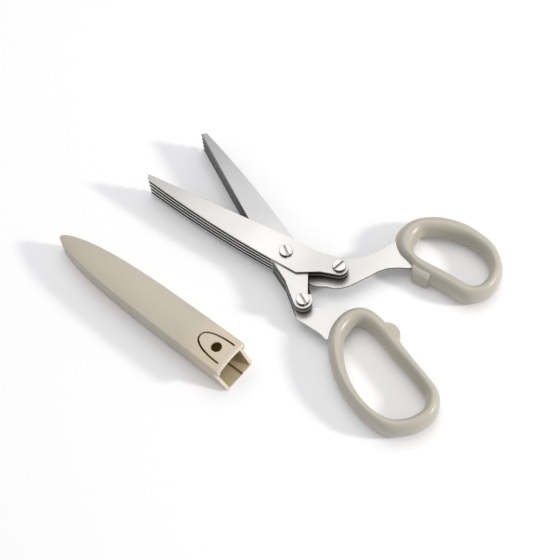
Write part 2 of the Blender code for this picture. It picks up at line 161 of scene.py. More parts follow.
def prism(name, outline, low, high):
    """An upright block with a given outline, between two heights."""
    builder = bmesh.new()
    feet = [builder.verts.new((x, y, low)) for x, y in outline]
    tops = [builder.verts.new((x, y, high)) for x, y in outline]
    builder.faces.new(feet)
    builder.faces.new(tops[::-1])
    for index, foot in enumerate(feet):
        builder.faces.new((foot, feet[index - 1], tops[index - 1], tops[index]))
    return made_object(name, builder)


def cut(piece, cutter, operation="DIFFERENCE"):
    """Cuts a piece with another, or joins them, and removes the second."""
    change = piece.modifiers.new(operation.lower(), "BOOLEAN")
    change.operation = operation
    change.solver = "EXACT"
    change.object = cutter
    apply_all(piece)
    bpy.data.objects.remove(cutter)


def at_origin(piece):
    """Moves an object's place into its mesh."""
    only(piece)
    bpy.ops.object.transform_apply(location=True, rotation=True, scale=True)


def fan_out(blade, node, turn):
    """Tilts a blade in front of the pivot, a little away from the middle of the stack."""
    low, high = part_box(node)
    rise = fan_share * ((low.z + high.z) / 2 - stack_middle)
    ahead = Matrix.Rotation(-turn, 3, "Z") @ Vector((0, 1, 0))
    builder = bmesh.new()
    builder.from_mesh(blade.data)
    everything = builder.verts[:] + builder.edges[:] + builder.faces[:]
    bmesh.ops.bisect_plane(builder, geom=everything, plane_co=ahead * fan_start, plane_no=ahead)
    for corner in builder.verts:
        reach = max(0, corner.co.dot(ahead) - fan_start)
        corner.co.z += rise * reach / (blade_end - fan_start)
    builder.to_mesh(blade.data)
    builder.free()


def narrow_neck(blade):
    """Narrows the finger half's top tang in front of its rear screw. The points are in millimetres,
    with the half drawn closed.
    """
    cutter = prism("neck", [(x * mm, y * mm) for x, y in neck_points], 0, 2 * stack_middle)
    cutter.matrix_world = Matrix.Rotation(-half_open, 4, "Z")
    at_origin(cutter)
    cut(blade, cutter)


def shade(piece, angle):
    """Shades a piece smooth, apart from the edges sharper than the angle."""
    only(piece)
    bpy.ops.object.shade_smooth_by_angle(angle=angle)


def round_edges(piece, width, segments, angle):
    """Rounds every edge sharper than the angle, and keeps the wide faces flat in their shading."""
    bevel = piece.modifiers.new("edges", "BEVEL")
    bevel.width = width
    bevel.segments = segments
    bevel.limit_method = "ANGLE"
    bevel.angle_limit = angle
    apply_all(piece)
    shade(piece, sharp_angle)
    level = piece.modifiers.new("level", "WEIGHTED_NORMAL")
    level.keep_sharp = True
    apply_all(piece)


def new_group(name, inputs, outputs):
    """An empty shader group with named sockets, and its two end nodes."""
    tree = bpy.data.node_groups.new(name, "ShaderNodeTree")
    for label, kind, value in inputs:
        socket = tree.interface.new_socket(name=label, in_out="INPUT", socket_type=kind)
        if value is not None:
            socket.default_value = value
    for label, kind in outputs:
        tree.interface.new_socket(name=label, in_out="OUTPUT", socket_type=kind)
    return tree, tree.nodes.new("NodeGroupInput"), tree.nodes.new("NodeGroupOutput")


def feed(tree, value, socket):
    """Links a socket to another one, or sets it to a plain value."""
    if isinstance(value, bpy.types.NodeSocket):
        tree.links.new(value, socket)
    else:
        socket.default_value = value


def maths(tree, operation, *values):
    """One step of arithmetic. Each value may be a socket or a plain number."""
    node = tree.nodes.new("ShaderNodeMath")
    node.operation = operation
    for value, socket in zip(values, node.inputs):
        feed(tree, value, socket)
    return node.outputs[0]


def parts_of(tree, vector):
    """The X, Y and Z of a vector, as sockets."""
    split = tree.nodes.new("ShaderNodeSeparateXYZ")
    tree.links.new(vector, split.inputs["Vector"])
    return split.outputs


def turned_by(tree, vector, angle):
    """A vector turned about the Z axis. The angle may be a socket or a plain number."""
    turn = tree.nodes.new("ShaderNodeVectorRotate")
    turn.rotation_type = "Z_AXIS"
    tree.links.new(vector, turn.inputs["Vector"])
    feed(tree, angle, turn.inputs["Angle"])
    return turn.outputs["Vector"]


def noise(tree, place, size, detail):
    """A noise texture. Its size may be a socket or a plain number."""
    node = tree.nodes.new("ShaderNodeTexNoise")
    node.inputs["Detail"].default_value = detail
    tree.links.new(place, node.inputs["Vector"])
    feed(tree, size, node.inputs["Scale"])
    return node


def build_grain():
    """Fine parallel streaks along a turned Y axis, slow smudges, and the place along that axis."""
    tree, start, end = new_group(
        "brushed_grain",
        [("Vector", "NodeSocketVector", None), ("Turn", "NodeSocketFloat", 0.0),
         ("Size", "NodeSocketFloat", grain_size), ("Stretch", "NodeSocketFloat", grain_stretch)],
        [("Streaks", "NodeSocketFloat"), ("Smudges", "NodeSocketFloat"),
         ("Along", "NodeSocketFloat")])
    turned = turned_by(tree, start.outputs["Vector"], start.outputs["Turn"])
    scale = tree.nodes.new("ShaderNodeCombineXYZ")
    scale.inputs["X"].default_value = 1.0
    scale.inputs["Z"].default_value = 1.0
    tree.links.new(maths(tree, "DIVIDE", 1.0, start.outputs["Stretch"]), scale.inputs["Y"])
    squeezed = tree.nodes.new("ShaderNodeVectorMath")
    squeezed.operation = "MULTIPLY"
    tree.links.new(turned, squeezed.inputs[0])
    tree.links.new(scale.outputs["Vector"], squeezed.inputs[1])
    streaks = noise(tree, squeezed.outputs["Vector"], start.outputs["Size"], grain_detail)
    streaks.inputs["Roughness"].default_value = grain_roughness
    smudges = noise(tree, turned, smudge_size, smudge_detail)
    tree.links.new(streaks.outputs["Fac"], end.inputs["Streaks"])
    tree.links.new(smudges.outputs["Fac"], end.inputs["Smudges"])
    tree.links.new(parts_of(tree, turned)["Y"], end.inputs["Along"])
    return tree


grain = build_grain()


def place_group(tree, group, place):
    """A shader group's node, fed with the place on the piece."""
    node = tree.nodes.new("ShaderNodeGroup")
    node.node_tree = group
    tree.links.new(place, node.inputs["Vector"])
    return node


def spread(tree, value, first, last, low, high):
    """A value between first and last, spread evenly from low to high."""
    change = tree.nodes.new("ShaderNodeMapRange")
    change.inputs["From Min"].default_value = first
    change.inputs["From Max"].default_value = last
    change.inputs["To Min"].default_value = low
    change.inputs["To Max"].default_value = high
    tree.links.new(value, change.inputs["Value"])
    return change.outputs["Result"]


def rising(tree, value, start, full):
    """A share that rises from 0 to 1 between two values."""
    return spread(tree, value, start, full, 0.0, 1.0)


def mapped(tree, cloud, low, high):
    """A noise, which stays in its usual range, spread from low to high."""
    return spread(tree, cloud, *noise_range, low, high)


def blended(tree, share, first, second, way="MIX"):
    """A colour between two others, or from one to its product with the other. Each may be a socket
    or a plain colour.
    """
    mix = tree.nodes.new("ShaderNodeMix")
    mix.data_type = "RGBA"
    mix.blend_type = way
    tree.links.new(share, mix.inputs["Factor"])
    feed(tree, first, mix.inputs["A"])
    feed(tree, second, mix.inputs["B"])
    return mix.outputs["Result"]


def level_share(tree, low, high):
    """1 on level faces and 0 on upright ones, or the other way round if low is the higher limit."""
    geometry = tree.nodes.new("ShaderNodeNewGeometry")
    slope = maths(tree, "ABSOLUTE", parts_of(tree, geometry.outputs["True Normal"])["Z"])
    return rising(tree, slope, low, high)


def bumped(tree, height, distance, strength):
    """Fine relief from a height, for a shader's normal."""
    bump = tree.nodes.new("ShaderNodeBump")
    bump.inputs["Distance"].default_value = distance
    bump.inputs["Strength"].default_value = strength
    tree.links.new(height, bump.inputs["Height"])
    return bump.outputs["Normal"]


def new_finish(name, metallic):
    """A material with its tree and shader, and the object's own coordinates."""
    material = bpy.data.materials.new(name)
    material.use_nodes = True
    tree = material.node_tree
    shader = tree.nodes["Principled BSDF"]
    shader.inputs["Metallic"].default_value = metallic
    return material, tree, shader, tree.nodes.new("ShaderNodeTexCoord").outputs["Object"]


def own_normal(tree, turn, axis):
    """How far a face looks along one of the piece's own axes."""
    normal = tree.nodes.new("ShaderNodeTexCoord").outputs["Normal"]
    return parts_of(tree, turned_by(tree, normal, turn))[axis]


def above_blade(tree, place, along, base):
    """The height above the lower face of whichever blade it is, with the fan's tilt taken out."""
    spacing = spread(tree, along, fan_start, blade_end, 1.0, 1.0 + fan_share)
    height = maths(tree, "SUBTRACT", parts_of(tree, place)["Z"], stack_middle)
    level = maths(tree, "DIVIDE", height, spacing)
    lifted = maths(tree, "ADD", level, stack_middle - base + edge_highlight_blend)
    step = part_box("finger_blade_4")[0].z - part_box("finger_blade_5")[0].z
    return maths(tree, "SUBTRACT", maths(tree, "MODULO", lifted, step), edge_highlight_blend)


def blade_finish(half, name, side_tint, inner):
    """Brushed outer faces, sheared sides, and painted light and shade: along the blade and towards
    the tip, on the faces of the blades inside the stack, and on the sides.
    """
    steel = half_steels[half]
    material, tree, shader, place = new_finish(half + "_" + name, 1.0)
    marks = place_group(tree, grain, place)
    marks.inputs["Turn"].default_value = steel["turn"]
    along = marks.outputs["Along"]
    # Painted light and shade along the blade.
    face = blended(tree, rising(tree, along, back_start, back_full), steel["front"], steel["back"])
    face = blended(tree, rising(tree, along, far_start, far_full), face, steel["far"])
    smudges = mapped(tree, marks.outputs["Smudges"], 0.0, 1.0)
    face = blended(tree, smudges, face, smudge_shade, "MULTIPLY")
    # Painted shade towards the tip.
    near_tip = rising(tree, along, tip_shade_start, blade_end)
    face = blended(tree, near_tip, face, tip_shade, "MULTIPLY")
    # Painted shade on the faces of the blades inside the stack, up to where the main plate comes out
    # bare.
    if inner:
        face = blended(tree, rising(tree, along, *steel["bare"]), steel["inner"], face)
    # Painted shade on the sides behind the pivot, darkest where they face along the half's own X
    # axis.
    right = rising(tree, own_normal(tree, steel["turn"], "X"), *right_slopes)
    behind_side = blended(tree, right, side_tint, shaded_side_tint)
    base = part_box(half + "_blade_5")[0].z
    # In front of the pivot, each side has a painted highlight along its lower edge. Above that
    # highlight, the finger's sides are painted shade.
    height = above_blade(tree, place, along, base)
    upper = rising(tree, height, edge_highlight_height, edge_highlight_height + edge_highlight_blend)
    front_side = blended(tree, upper, steel["edge_highlight"], steel["front_side"])
    side = blended(tree, rising(tree, along, side_start, side_full), front_side, behind_side)
    colour = blended(tree, level_share(tree, *side_slopes), side, face)
    tree.links.new(colour, shader.inputs["Base Color"])
    streaks = marks.outputs["Streaks"]
    tree.links.new(mapped(tree, streaks, *blade_roughness), shader.inputs["Roughness"])
    tree.links.new(bumped(tree, streaks, grain_depth, grain_strength), shader.inputs["Normal"])
    return material


for half, steel in half_steels.items():
    outer = blade_finish(half, "outer_blade_steel", steel["tang_side"], False)
    inner = blade_finish(half, "inner_blade_steel", steel["tang_side"], True)
    main = blade_finish(half, "main_blade_steel", steel["plate_side"], True)
    for ending, finish in (("blade_1", outer), ("blade_2", inner), ("main_blade", main),
                           ("blade_4", inner), ("blade_5", inner)):
        node = half + "_" + ending
        blade = copy_of(node, node + "_ground")
        if node == "finger_blade_1":
            narrow_neck(blade)
        fan_out(blade, node, steel["turn"])
        round_edges(blade, blade_edge_round, blade_edge_steps, blade_edge_angle)
        blade.data.materials.append(finish)
        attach(blade, half + "_half")
        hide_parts(node)


# Spacers
# Steel washers on the two rear screws, one for each layer that the other half's blade leaves free.
# They are turned from bar, so their rims are bright and slightly rounded.

turned_tint = (0.44, 0.43, 0.42, 1.0)
turned_shade = (0.39, 0.38, 0.37, 1.0)
ring_size = 2600.0
ring_stretch = 6.0
ring_strength = 0.2
turned_roughness = (0.24, 0.36)
round_vertices = 64
spacer_radius = 3.0 * mm
spacer_bore = 2.2 * mm
spacer_round = 0.1 * mm
spacer_round_steps = 3
rim_angle = math.radians(40)


def turned_finish(name):
    """Bright turned steel with faint rings. Its tree, shader, place and tint are handed back too."""
    material, tree, shader, place = new_finish(name, 1.0)
    marks = place_group(tree, grain, place)
    marks.inputs["Size"].default_value = ring_size
    marks.inputs["Stretch"].default_value = ring_stretch
    smudges = mapped(tree, marks.outputs["Smudges"], 0.0, 1.0)
    tint = blended(tree, smudges, turned_tint, turned_shade)
    tree.links.new(tint, shader.inputs["Base Color"])
    rings = marks.outputs["Streaks"]
    tree.links.new(mapped(tree, rings, *turned_roughness), shader.inputs["Roughness"])
    tree.links.new(bumped(tree, rings, grain_depth, ring_strength), shader.inputs["Normal"])
    return material, tree, shader, place, tint


def round_bar(name, radius, low, high, centre, sides=round_vertices):
    """An upright round bar between two heights."""
    bpy.ops.object.select_all(action="DESELECT")
    bpy.ops.mesh.primitive_cylinder_add(vertices=sides, radius=radius, depth=high - low,
                                        location=(centre[0], centre[1], (low + high) / 2))
    bar = bpy.context.object
    bar.name = name
    return bar


def rod(name, radius, low, high, node):
    """A round bar in the middle of a CAD node."""
    near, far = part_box(node)
    return round_bar(name, radius, low, high, (near + far) / 2)


def hand_over(piece, material, body, node):
    """Gives a finished piece its material and its body, and hides the CAD node that it stands in
    for.
    """
    piece.data.materials.clear()
    piece.data.materials.append(material)
    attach(piece, body)
    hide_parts(node)


bright_steel = turned_finish("turned_steel")[0]
for half in ("thumb", "finger"):
    for index in range(1, 5):
        node = half + "_spacer_" + str(index)
        low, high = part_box(node)
        spacer = rod(node + "_turned", spacer_radius, low.z, high.z, node)
        cut(spacer, rod("bore", spacer_bore, low.z - mm, high.z + mm, node))
        at_origin(spacer)
        round_edges(spacer, spacer_round, spacer_round_steps, rim_angle)
        hand_over(spacer, bright_steel, half + "_half", node)


# Screws
# Three slotted machine screws of bright turned steel: one through the pivot and one through the
# tangs of each half. Each has a low round head with a sawn slot, left where the driver stopped.

head_radius = 3.2 * mm
head_height = 1.3 * mm
head_round = 0.28 * mm
head_round_steps = 4
shank_radius = 1.2 * mm
slot_width = 1.2 * mm
slot_depth = 0.8 * mm
slot_edge = 0.05 * mm
slot_edge_steps = 2
saw_length = 3 * head_radius
# Painted shade in the slot and on the head's side, below a little under the head's top.
slot_floor_tint = (0.21, 0.20, 0.19, 1.0)
slot_wall_tint = (0.05, 0.047, 0.043, 1.0)
slot_slopes = (0.3, 0.6)
dark_drop = 0.25 * mm
dark_blend = 0.1 * mm
screw_bodies = {"pivot": "thumb_half", "thumb": "thumb_half", "finger": "finger_half"}
slot_turns = {"pivot": math.radians(65.5), "thumb": math.radians(-0.5),
              "finger": math.radians(73.0)}


def falling(tree, value, full, end):
    """A share that falls from 1 to 0 between two values."""
    return spread(tree, value, full, end, 1.0, 0.0)


def slot_shaded_finish(name, top):
    """Turned steel with painted shade below a height: on the slot's floor, and darker on its walls
    and the head's side.
    """
    material, tree, shader, place, tint = turned_finish(name)
    low = falling(tree, parts_of(tree, place)["Z"], top - dark_blend, top)
    slot_painted_shade = blended(tree, level_share(tree, *slot_slopes), slot_wall_tint, slot_floor_tint)
    tree.links.new(blended(tree, low, tint, slot_painted_shade), shader.inputs["Base Color"])
    return material


for name, body in screw_bodies.items():
    node = name + "_screw"
    low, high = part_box(node)
    screw = rod(node + "_turned", head_radius, high.z - head_height, high.z, node)
    round_edges(screw, head_round, head_round_steps, rim_angle)
    cut(screw, rod("shank", shank_radius, low.z, high.z - head_height / 2, node), "UNION")
    middle = (low + high) / 2
    bpy.ops.object.select_all(action="DESELECT")
    bpy.ops.mesh.primitive_cube_add(size=1, location=(middle.x, middle.y, high.z),
                                    rotation=(0, 0, slot_turns[name]))
    saw = bpy.context.object
    saw.scale = (saw_length, slot_width, 2 * slot_depth)
    cut(screw, saw)
    at_origin(screw)
    round_edges(screw, slot_edge, slot_edge_steps, rim_angle)
    head_steel = slot_shaded_finish(name + "_screw_steel", high.z - dark_drop)
    hand_over(screw, head_steel, body, node)


# Barrel nuts
# Each screw goes down into a long barrel nut, which comes up through the stack from below and has a
# thin round flange. They are turned from the same steel as the screws.

barrel_radius = 1.9 * mm
bore_radius = 1.5 * mm
bore_floor = 0.3 * mm
flange_radius = 3.4 * mm
flange_height = 0.8 * mm
flange_round = 0.15 * mm
flange_round_steps = 3

for name, body in screw_bodies.items():
    node = name + "_barrel_nut"
    low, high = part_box(node)
    flange_top = low.z + flange_height
    nut = rod(node + "_turned", flange_radius, low.z, flange_top, node)
    cut(nut, rod("barrel", barrel_radius, low.z + flange_height / 2, high.z, node), "UNION")
    cut(nut, rod("bore", bore_radius, flange_top + bore_floor, high.z + mm, node))
    at_origin(nut)
    round_edges(nut, flange_round, flange_round_steps, rim_angle)
    hand_over(nut, bright_steel, body, node)


# Finger loops
# Two rings of satin beige plastic, each moulded round the end of its main blade, so the steel goes
# in through a close slit. A square nub on the thumb loop and a round boss on the finger loop meet
# when the scissors close.

thumb_points = (
    (29.41, -57.70, 6.84), (29.10, -70.20, 7.52), (28.65, -81.91, 7.60), (31.25, -87.33, 6.69),
    (36.55, -90.20, 6.54), (42.72, -90.20, 6.31), (48.43, -88.07, 6.38), (54.49, -81.17, 6.99),
    (56.95, -71.12, 7.60), (56.70, -62.84, 8.51), (54.06, -53.72, 8.89), (49.65, -46.77, 8.21),
    (44.36, -43.95, 9.35), (38.67, -43.90, 10.18), (33.60, -47.00, 8.06), (30.91, -51.63, 5.55))
finger_points = (
    (18.23, -56.16, 7.48), (18.99, -70.06, 6.60), (19.85, -79.82, 5.85), (20.45, -87.97, 5.92),
    (20.13, -96.71, 6.46), (14.65, -102.94, 6.94), (7.10, -104.20, 6.94), (0.00, -102.34, 6.87),
    (-5.70, -98.15, 6.66), (-9.47, -90.18, 5.37), (-11.25, -78.56, 5.51), (-10.01, -66.28, 6.26),
    (-5.64, -54.72, 7.21), (-0.44, -47.65, 7.89), (6.38, -44.30, 8.16), (12.02, -44.48, 8.23),
    (16.04, -47.89, 7.96))
loop_height = 13.0 * mm
loop_squareness = 2.05
loop_steps = 168
section_steps = 40
slit_gap = 0.07 * mm
nub_face = 23.74 * mm
nub_back = 29.33 * mm
nub_front = -54.40 * mm
nub_rear = -64.20 * mm
nub_height = 11.4 * mm
nub_face_height = 9.6 * mm
nub_top_reach = 2.8 * mm
nub_corner = 2.0 * mm
nub_slant = 0.4 * mm
boss_centre = (18.79 * mm, -60.50 * mm)
boss_radius = 6.2 * mm
boss_height = 10.0 * mm
boss_vertices = 128
stop_foot = 0.6 * mm
stop_edge = 0.6 * mm
stop_edge_steps = 4
loop_tint = (0.500, 0.464, 0.384, 1.0)
loop_shade = (0.468, 0.433, 0.358, 1.0)
loop_roughness = (0.29, 0.38)
cloud_size = 38.0
cloud_detail = 3.0
pebble_size = 2400.0
pebble_detail = 2.0
pebble_depth = 0.02 * mm
pebble_strength = 0.2


def build_skin():
    """Slow clouds in the colour, and the fine pebbled skin of a satin mould."""
    tree, start, end = new_group("moulded_skin", [("Vector", "NodeSocketVector", None)],
                                 [("Clouds", "NodeSocketFloat"), ("Pebbles", "NodeSocketFloat")])
    place = start.outputs["Vector"]
    for label, size, detail in (("Clouds", cloud_size, cloud_detail),
                                ("Pebbles", pebble_size, pebble_detail)):
        tree.links.new(noise(tree, place, size, detail).outputs["Fac"], end.inputs[label])
    return tree


skin = build_skin()


def plastic_finish(name, tint, shade_tint, roughness):
    """Satin moulded plastic. Its tree, shader, place and colour are handed back too."""
    material, tree, shader, place = new_finish(name, 0.0)
    marks = place_group(tree, skin, place)
    colour = blended(tree, mapped(tree, marks.outputs["Clouds"], 0.0, 1.0), tint, shade_tint)
    tree.links.new(colour, shader.inputs["Base Color"])
    pebbles = marks.outputs["Pebbles"]
    tree.links.new(mapped(tree, pebbles, *roughness), shader.inputs["Roughness"])
    tree.links.new(bumped(tree, pebbles, pebble_depth, pebble_strength), shader.inputs["Normal"])
    return material, tree, shader, place, colour


def smooth_through(points, steps):
    """A closed curve through points in millimetres, with even steps in each span."""
    line = []
    for step in range(steps):
        place = step * len(points) / steps
        index = int(place)
        share = place - index
        around = [points[(index + offset) % len(points)] for offset in (-1, 0, 1, 2)]
        p0, p1, p2, p3 = [Vector(point) for point in around]
        bend = 2 * p1 + (p2 - p0) * share
        bend += (2 * p0 - 5 * p1 + 4 * p2 - p3) * share ** 2
        bend += (3 * p1 - p0 - 3 * p2 + p3) * share ** 3
        line.append(bend / 2 * mm)
    return line


def squared(value, squareness):
    """Moves a cosine or sine out towards the side of a softly squared shape."""
    return math.copysign(abs(value) ** (2 / squareness), value)


def loop_tube(name, points):
    """The ring: a softly squared section carried round the middle line. Each point is a place on
    that line and the tube's width there, in millimetres, with the half drawn closed.
    """
    line = smooth_through(points, loop_steps)
    builder = bmesh.new()
    rings = []
    for index, point in enumerate(line):
        along = (line[(index + 1) % loop_steps].xy - line[index - 1].xy).normalized()
        outward = Vector((along.y, -along.x))
        ring = []
        for step in range(section_steps):
            angle = 2 * math.pi * step / section_steps
            place = point.xy + outward * point.z / 2 * squared(math.cos(angle), loop_squareness)
            height = loop_height * (1 + squared(math.sin(angle), loop_squareness)) / 2
            ring.append(builder.verts.new((place.x, place.y, height)))
        rings.append(ring)
    for index, ring in enumerate(rings):
        before = rings[index - 1]
        for step in range(section_steps):
            builder.faces.new((before[step - 1], before[step], ring[step], ring[step - 1]))
    return made_object(name, builder)


def thumb_nub():
    """A block with a cut front corner, a face drawn back to the rear and a sloping top."""
    outline = ((nub_face + nub_slant, nub_rear), (nub_back, nub_rear), (nub_back, nub_front),
               (nub_face + nub_corner, nub_front), (nub_face, nub_front - nub_corner))
    nub = prism("nub", outline, stop_foot, nub_height)
    rise = (nub_height - nub_face_height) / nub_top_reach
    top_edge = nub_face + nub_top_reach
    wedge = prism("slope", [(nub_face - mm, nub_face_height - mm * rise), (top_edge, nub_height),
                            (top_edge, nub_height + mm), (nub_face - mm, nub_height + mm)],
                  -nub_front - mm, -nub_rear + mm)
    wedge.matrix_world = Matrix(((1, 0, 0), (0, 0, -1), (0, 1, 0))).to_4x4()
    at_origin(wedge)
    cut(nub, wedge)
    round_edges(nub, stop_edge, stop_edge_steps, rim_angle)
    return nub


def finger_boss():
    """Half of a round bar, with its flat side inside the tube."""
    boss = round_bar("boss", boss_radius, stop_foot, boss_height, boss_centre, boss_vertices)
    at_origin(boss)
    round_edges(boss, stop_edge, stop_edge_steps, rim_angle)
    bpy.ops.object.mode_set(mode="EDIT")
    bpy.ops.mesh.select_all(action="SELECT")
    bpy.ops.mesh.bisect(plane_co=(*boss_centre, 0), plane_no=(1, 0, 0), use_fill=True,
                        clear_inner=True)
    bpy.ops.object.mode_set(mode="OBJECT")
    return boss


def slit_cutter(node):
    """The main blade, grown by the slit's gap on every side."""
    cutter = copy_of(node, "slit")
    grow = cutter.modifiers.new("grow", "DISPLACE")
    grow.strength = slit_gap
    grow.mid_level = 0.0
    apply_all(cutter)
    return cutter


loop_plastic = plastic_finish("loop_plastic", loop_tint, loop_shade, loop_roughness)[0]
for half, turn, points, stop in (("thumb", half_open, thumb_points, thumb_nub()),
                                 ("finger", -half_open, finger_points, finger_boss())):
    node = half + "_handle"
    loop = loop_tube(node + "_moulded", points)
    cut(loop, stop, "UNION")
    loop.matrix_world = Matrix.Rotation(turn, 4, "Z")
    at_origin(loop)
    cut(loop, slit_cutter(half + "_main_blade"))
    shade(loop, rim_angle)
    hand_over(loop, loop_plastic, half + "_half", node)


# Sheath
# A one-piece moulded cover for the blades, of the same beige plastic, pulled off and laid beside
# them. Its sides taper to a drooping nose, and slope out to a low sill at the mouth. A slot through
# its crowned top leaves a spring tongue with a round hole, which catches the pivot screw's head.

sheath_length = 111.1 * mm
sheath_mouth_width = 19.8 * mm
sheath_height = 16.8 * mm
sheath_lean = 0.8 * mm
sheath_crown = 1.0 * mm
sheath_wall = 1.0 * mm
sheath_side_wall = 1.6 * mm
sheath_corner = 1.2 * mm
sheath_foot_corner = 2.2 * mm
taper_share = 0.10
nose_power = 4.3
nose_round_power = 0.62
nose_drop_share = 0.31
nose_drop_power = 5.0
nose_end_share = 0.995
nose_edge = 0.5 * mm
nose_edge_steps = 4
round_profile = 0.5
full_corner_share = 0.5
hollow_share = 0.95
sheath_steps = 60
corner_steps = 8
crown_steps = 14
mouth_slant = 3.5 * mm
sill_height = 2.0 * mm
collar_drop = 4.2 * mm
notch_drop = 6.8 * mm
notch_depth = 3.8 * mm
lip_round = 0.7 * mm
lip_steps = 3
lip_top_slope = 0.2
lip_side_slope = 0.6
overrun = 4.0 * mm
tongue_width = 11.6 * mm
tongue_length = 16.0 * mm
tongue_setback = 3.0 * mm
tongue_slot = 0.95 * mm
tongue_squareness = 2.3
tongue_steps = 48
tongue_hole_radius = 2.65 * mm
tongue_hole_setback = 9.1 * mm
channel_floor = 0.5 * mm
channel_top = 1.5 * mm
channel_width = 4.8 * mm
channel_length = 32.0 * mm
sheath_place = (-57.35 * mm, -23.7 * mm)
sheath_turn = math.radians(6.8)
sheath_smooth_angle = math.radians(30)
sheath_tint = (0.521, 0.473, 0.379, 1.0)
sheath_shade = (0.486, 0.441, 0.352, 1.0)
cream_tint = (0.600, 0.510, 0.385, 1.0)
# The next four tints are painted shadow: in the hollow, deeper in, in the tongue's slot and in the
# channel. The rim tint is a painted highlight.
hollow_tint = (0.50, 0.405, 0.25, 1.0)
deep_tint = (0.29, 0.185, 0.035, 1.0)
slot_tint = (0.12, 0.085, 0.035, 1.0)
channel_tint = (0.16, 0.10, 0.03, 1.0)
rim_tint = (0.70, 0.63, 0.52, 1.0)
sheath_roughness = (0.36, 0.46)
mask_blend = 0.1 * mm
cream_full = 12.0 * mm
cream_end = 26.0 * mm
deep_start = 1.0 * mm
deep_full = 11.0 * mm
channel_shade_start = 0.9 * mm
channel_shade_full = 1.9 * mm
channel_shade_top = 1.2 * mm
hollow_side = 8.32 * mm
hollow_side_blend = 0.08 * mm
hollow_top = 15.2 * mm
hollow_end = 34.0 * mm
hollow_end_blend = 4.0 * mm
wall_slopes = (0.9, 0.6)
slot_shade_bottom = 14.8 * mm
slot_shade_front = 1.4 * mm
slot_shade_side = 7.4 * mm
rim_slope_start = -0.08
rim_slope_full = -0.16


def arc(centre, radius, start, steps):
    """A quarter turn, from a start angle in quarter turns."""
    points = []
    for step in range(steps + 1):
        angle = math.pi / 2 * (start + step / steps)
        points.append((centre[0] + radius * math.cos(angle), centre[1] + radius * math.sin(angle)))
    return points


def sheath_ring(share, inset, side_inset):
    """One cross-section: a flat foot, nearly upright sides and a slightly crowned top."""
    spread_share = (1 - taper_share * share) * (1 - share ** nose_power) ** nose_round_power
    drop = 1 - nose_drop_share * share ** nose_drop_power
    half = (sheath_mouth_width / 2 - side_inset) * spread_share
    high = (sheath_height - sheath_crown) * drop - inset
    corner_share = min(1, spread_share / full_corner_share) * spread_share
    corner = sheath_corner * corner_share
    foot_corner = (sheath_foot_corner - inset) * corner_share
    crown = sheath_crown * spread_share
    foot = half - sheath_lean * spread_share
    points = arc((-foot + foot_corner, inset + foot_corner), foot_corner, 2, corner_steps)
    points += arc((foot - foot_corner, inset + foot_corner), foot_corner, 3, corner_steps)
    points += arc((half - corner, high - corner), corner, 0, corner_steps)
    for step in range(1, crown_steps):
        side = 1 - 2 * step / crown_steps
        points.append(((half - corner) * side, high + crown * (1 - side ** 2)))
    points += arc((-half + corner, high - corner), corner, 1, corner_steps)
    return points


def sheath_loft(name, inset, side_inset, start, end_share):
    """The outside of the sheath, or its hollow when the insets are a wall thick."""
    builder = bmesh.new()
    rings = []
    for step in range(sheath_steps + 1):
        share = end_share * math.sin(math.pi / 2 * step / sheath_steps)
        place = share * sheath_length if step else -start
        ring = sheath_ring(share, inset, side_inset)
        rings.append([builder.verts.new((x, place, z)) for x, z in ring])
    for before, ring in zip(rings, rings[1:]):
        for index in range(len(ring)):
            builder.faces.new((before[index - 1], before[index], ring[index], ring[index - 1]))
    builder.faces.new(rings[0])
    cap = builder.faces.new(rings[-1])
    if not inset:
        bmesh.ops.bevel(builder, geom=list(cap.edges), offset=nose_edge, segments=nose_edge_steps,
                        profile=round_profile, affect="EDGES")
    return made_object(name, builder)


def mouth_cutter():
    """Leaves the collar round the top of the mouth, and under it side walls that start in a notch
    and slope out to the sill.
    """
    front = -mouth_slant - overrun
    top = sheath_height + overrun
    profile = [(front, sill_height), (-mouth_slant, sill_height),
               (notch_depth, sheath_height - notch_drop), (0, sheath_height - collar_drop),
               (0, top), (front, top)]
    cutter = prism("mouth", profile, -sheath_mouth_width, sheath_mouth_width)
    cutter.matrix_world = Matrix(((0, 0, 1), (1, 0, 0), (0, 1, 0))).to_4x4()
    at_origin(cutter)
    return cutter


def tongue_path(shift):
    """The tongue's outline, moved outwards by the shift."""
    points = []
    for step in range(tongue_steps + 1):
        angle = math.pi * step / tongue_steps
        x = (tongue_width / 2 + shift) * squared(math.cos(angle), tongue_squareness)
        y = (tongue_length + shift) * squared(math.sin(angle), tongue_squareness)
        points.append((x, tongue_setback + y))
    return points


def tongue_slot_cutter():
    """The slot round the tongue, through the top wall."""
    outline = tongue_path(tongue_slot / 2) + tongue_path(-tongue_slot / 2)[::-1]
    return prism("slot", outline, sheath_height / 2, sheath_height + overrun)


def hole_cutter():
    """The round hole in the tongue."""
    return round_bar("hole", tongue_hole_radius, sheath_height / 2, 3 * sheath_height / 2,
                     (0, tongue_hole_setback))


def round_lip(piece):
    """Rounds the collar's outer edge, all the way round the top of the mouth."""
    builder = bmesh.new()
    builder.from_mesh(piece.data)
    builder.normal_update()
    edges = []
    for edge in builder.edges:
        at_mouth = all(abs(corner.co.y) < join_distance for corner in edge.verts)
        outward = any(face.normal.z > lip_top_slope or abs(face.normal.x) > lip_side_slope
                      for face in edge.link_faces)
        middle = (edge.verts[0].co + edge.verts[1].co) / 2
        outer = abs(middle.x) > sheath_mouth_width / 2 - sheath_side_wall / 2
        outer = outer or middle.z > sheath_height - sheath_crown - sheath_wall / 2
        if at_mouth and outward and outer and edge.calc_face_angle(0) > rim_angle:
            edges.append(edge)
    bmesh.ops.bevel(builder, geom=edges, offset=lip_round, segments=lip_steps,
                    profile=round_profile, affect="EDGES")
    builder.to_mesh(piece.data)
    builder.free()


